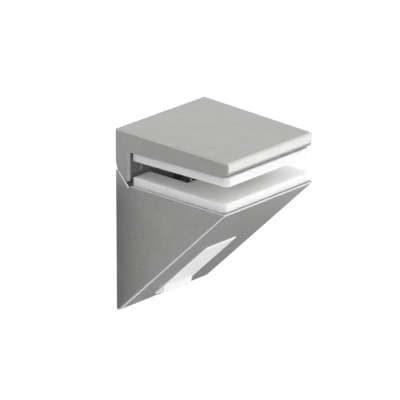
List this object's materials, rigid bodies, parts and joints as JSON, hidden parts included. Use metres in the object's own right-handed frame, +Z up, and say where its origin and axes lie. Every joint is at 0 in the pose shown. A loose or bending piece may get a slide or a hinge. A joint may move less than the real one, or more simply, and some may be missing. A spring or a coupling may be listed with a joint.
{
  "type": "wall clamp for a glass panel",
  "caption": "Wall clamp with a wedge-shaped lower jaw and a sliding upper jaw that grip a level glass panel between soft pads.",
  "frame": {"origin": "centre of the wall screw's hole, on the wall plane", "axes": "+Y into the wall, -Y out over the panel, +Z up, X along the wall"},
  "size_m": [0.05, 0.0554, 0.0726],
  "materials": {
    "silver": "satin silver on zinc die casting",
    "pad": "soft white plastic",
    "cover": "white plastic",
    "steel": "zinc-plated steel"
  },
  "bodies": {
    "wall_jaw": {"lower_jaw": "silver", "lower_pad": "pad"},
    "sliding_jaw": {"upper_jaw": "silver", "upper_pad": "pad", "clamp_nut": "steel"},
    "screw": {"clamp_screw": "steel", "screw_washer": "steel", "retaining_clip": "steel"},
    "cover": {"slot_cover": "cover"}
  },
  "joints": [
    {"name": "screw_turn", "type": "hinge", "parent": "wall_jaw", "child": "screw", "pos_m": [0, -0.0135, 0], "axis": [0, 0, -1], "range_deg": [0, 5400]},
    {"name": "jaw_slide", "type": "slide", "parent": "wall_jaw", "child": "sliding_jaw", "axis": [0, 0, 1], "range_m": [0, 0.012]},
    {"name": "cover_pull", "type": "slide", "parent": "wall_jaw", "child": "cover", "axis": [0, -0.6932, -0.7208], "range_m": [0, 0.04]}
  ],
  "couplings": [
    {"joint": "screw_turn", "follows": "jaw_slide", "rad_per_m": 7854}
  ]
}
